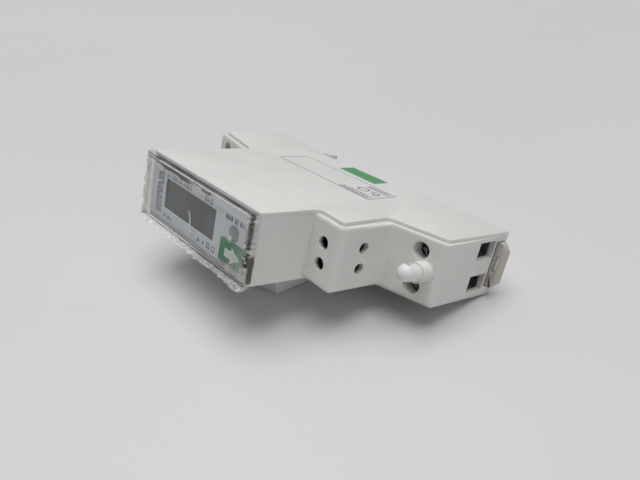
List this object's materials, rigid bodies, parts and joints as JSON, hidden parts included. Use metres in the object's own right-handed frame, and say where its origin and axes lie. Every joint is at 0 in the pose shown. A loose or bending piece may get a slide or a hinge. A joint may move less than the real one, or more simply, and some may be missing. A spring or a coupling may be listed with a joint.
{
  "type": "electric meter",
  "caption": "Single-phase smart electricity meter, one rail module wide, with display, scroll key, cage-clamp terminals and a sliding rail clip.",
  "frame": {"origin": "middle of the underside of the whole part, as it lies on its side", "axes": "+X along the meter's height towards the end with the rail clip, +Y from the display back towards the rail, +Z across the module's width, away from the surface it lies on"},
  "size_m": [0.0938, 0.062, 0.0175],
  "materials": {
    "shell_white": "satin",
    "clear_lens": "clear polycarbonate",
    "clear_film": "clear crinkled film",
    "label": "printed, satin",
    "holder_white": "satin",
    "lcd_glass": "dark display glass",
    "elastomer": "matt",
    "clear_pipe": "clear",
    "led_body": "gloss",
    "circuit_board": "solder-mask gloss",
    "black_plastic": "matt",
    "key_green": "satin",
    "plunger_white": "satin",
    "crystal_steel": "satin",
    "film_cap_yellow": "gloss",
    "cap_sleeve_blue": "gloss",
    "varistor_blue": "gloss",
    "copper_bar": "tinned copper",
    "manganin": "matt",
    "contact_brass": "satin",
    "seal_nylon": "satin",
    "clip_grey": "translucent satin",
    "block_grey": "matt",
    "cage_steel": "zinc plated",
    "screw_steel": "nickel plated"
  },
  "bodies": {
    "meter": {"housing_shell": "shell_white", "side_cover": "shell_white", "front_lens": "clear_lens", "protective_film": "clear_film", "face_label": "label", "lcd_holder": "holder_white", "lcd_glass": "lcd_glass", "lcd_connectors": "elastomer", "light_pipe": "clear_pipe", "pulse_led": "led_body", "display_board": "circuit_board", "key_switch": "black_plastic", "main_board": "circuit_board", "board_header": "black_plastic", "processor_chip": "black_plastic", "metering_chip": "black_plastic", "crystal_can": "crystal_steel", "film_capacitor": "film_cap_yellow", "supply_capacitor": "cap_sleeve_blue", "varistor": "varistor_blue", "optocoupler": "black_plastic", "line_in_bar": "copper_bar", "line_out_bar": "copper_bar", "shunt": "manganin", "sense_leads": "contact_brass", "neutral_bar": "copper_bar", "near_barrier": "holder_white", "far_barrier": "holder_white", "sealing_plug": "seal_nylon", "signal_block": "block_grey", "signal_contacts": "contact_brass"},
    "key": {"scroll_key": "key_green", "switch_plunger": "plunger_white"},
    "clip": {"rail_clip": "clip_grey"},
    "line_in_screw": {"line_in_screw": "screw_steel"},
    "line_in_cage": {"line_in_cage": "cage_steel"},
    "neutral_in_screw": {"neutral_in_screw": "screw_steel"},
    "neutral_in_cage": {"neutral_in_cage": "cage_steel"},
    "line_out_screw": {"line_out_screw": "screw_steel"},
    "line_out_cage": {"line_out_cage": "cage_steel"},
    "neutral_out_screw": {"neutral_out_screw": "screw_steel"},
    "neutral_out_cage": {"neutral_out_cage": "cage_steel"},
    "signal_a_screw": {"signal_a_screw": "screw_steel"},
    "signal_a_cage": {"signal_a_cage": "cage_steel"},
    "signal_b_screw": {"signal_b_screw": "screw_steel"},
    "signal_b_cage": {"signal_b_cage": "cage_steel"}
  },
  "joints": [
    {"name": "scroll_key_press", "type": "slide", "parent": "meter", "child": "key", "axis": [0, 1, 0], "range_m": [0, 0.0005], "stiffness_N_per_m": 1500, "springref_m": -0.0001},
    {"name": "rail_clip_slide", "type": "slide", "parent": "meter", "child": "clip", "axis": [1, 0, 0], "range_m": [0, 0.003], "stiffness_N_per_m": 2500, "springref_m": -0.0005},
    {"name": "line_in_cage_lift", "type": "slide", "parent": "meter", "child": "line_in_cage", "axis": [0, -1, 0], "range_m": [0, 0.0056]},
    {"name": "line_in_screw_turn", "type": "hinge", "parent": "meter", "child": "line_in_screw", "pos_m": [-0.0407, 0.01095, 0.00425], "axis": [0, 1, 0], "range_deg": [0, 2880]},
    {"name": "neutral_in_cage_lift", "type": "slide", "parent": "meter", "child": "neutral_in_cage", "axis": [0, -1, 0], "range_m": [0, 0.0056]},
    {"name": "neutral_in_screw_turn", "type": "hinge", "parent": "meter", "child": "neutral_in_screw", "pos_m": [-0.0407, 0.01095, 0.01325], "axis": [0, 1, 0], "range_deg": [0, 2880]},
    {"name": "line_out_cage_lift", "type": "slide", "parent": "meter", "child": "line_out_cage", "axis": [0, -1, 0], "range_m": [0, 0.0056]},
    {"name": "line_out_screw_turn", "type": "hinge", "parent": "meter", "child": "line_out_screw", "pos_m": [0.0381, 0.01095, 0.00425], "axis": [0, 1, 0], "range_deg": [0, 2880]},
    {"name": "neutral_out_cage_lift", "type": "slide", "parent": "meter", "child": "neutral_out_cage", "axis": [0, -1, 0], "range_m": [0, 0.0056]},
    {"name": "neutral_out_screw_turn", "type": "hinge", "parent": "meter", "child": "neutral_out_screw", "pos_m": [0.0381, 0.01095, 0.01325], "axis": [0, 1, 0], "range_deg": [0, 2880]},
    {"name": "signal_a_cage_lift", "type": "slide", "parent": "meter", "child": "signal_a_cage", "axis": [0, -1, 0], "range_m": [0, 0.0018]},
    {"name": "signal_a_screw_turn", "type": "hinge", "parent": "meter", "child": "signal_a_screw", "pos_m": [0.02435, -0.01105, 0.00615], "axis": [0, 1, 0], "range_deg": [0, 1440]},
    {"name": "signal_b_cage_lift", "type": "slide", "parent": "meter", "child": "signal_b_cage", "axis": [0, -1, 0], "range_m": [0, 0.0018]},
    {"name": "signal_b_screw_turn", "type": "hinge", "parent": "meter", "child": "signal_b_screw", "pos_m": [0.02435, -0.01105, 0.01135], "axis": [0, 1, 0], "range_deg": [0, 1440]}
  ],
  "couplings": [
    {"joint": "line_in_screw_turn", "follows": "line_in_cage_lift", "rad_per_m": 8975.9},
    {"joint": "neutral_in_screw_turn", "follows": "neutral_in_cage_lift", "rad_per_m": 8975.9},
    {"joint": "line_out_screw_turn", "follows": "line_out_cage_lift", "rad_per_m": 8975.9},
    {"joint": "neutral_out_screw_turn", "follows": "neutral_out_cage_lift", "rad_per_m": 8975.9},
    {"joint": "signal_a_screw_turn", "follows": "signal_a_cage_lift", "rad_per_m": 13962},
    {"joint": "signal_b_screw_turn", "follows": "signal_b_cage_lift", "rad_per_m": 13962}
  ]
}
